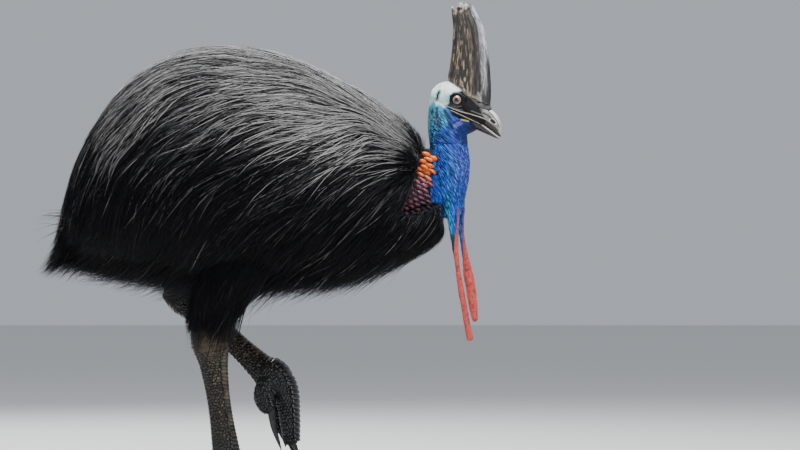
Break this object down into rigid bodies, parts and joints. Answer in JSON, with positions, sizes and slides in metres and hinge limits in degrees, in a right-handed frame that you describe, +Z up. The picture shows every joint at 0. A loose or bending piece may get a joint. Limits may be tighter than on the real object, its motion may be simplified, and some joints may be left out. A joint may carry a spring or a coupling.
{
  "type": "cassowary",
  "caption": "Life-size southern cassowary standing on one foot in mid stride, with a shaggy black coat, tall casque, blue neck and red wattles.",
  "frame": {"origin": "on the floor under the pad of the standing right foot", "axes": "+X forward along the body, +Y to the bird's left, +Z up"},
  "size_m": [1.0374, 0.4306, 1.087],
  "materials": {
    "coat": "matte",
    "blue_skin": "satin",
    "pale_skin": "satin",
    "caruncle": "satin",
    "wattle": "satin",
    "leg_skin": "satin",
    "casque": "satin",
    "quill": "satin",
    "bill": "satin",
    "claw": "gloss",
    "eye": "gloss"
  },
  "bodies": {
    "root": {"torso": "coat", "neck": "blue_skin", "neck_base": "caruncle", "head": "pale_skin", "casque": "casque", "bill_upper": "bill", "bill_lower": "bill", "eye_right": "eye", "eye_left": "eye", "wattle_right": "wattle", "wattle_left": "wattle", "wing_right": "quill", "wing_left": "quill", "drumstick_right": "coat", "drumstick_left": "coat", "shank_right": "leg_skin", "shank_left": "leg_skin", "toe_middle_right": "leg_skin", "toe_inner_right": "leg_skin", "toe_outer_right": "leg_skin", "toe_middle_left": "leg_skin", "toe_inner_left": "leg_skin", "toe_outer_left": "leg_skin", "claw_middle_right": "claw", "claw_inner_right": "claw", "claw_outer_right": "claw", "claw_middle_left": "claw", "claw_inner_left": "claw", "claw_outer_left": "claw"}
  },
  "joints": []
}
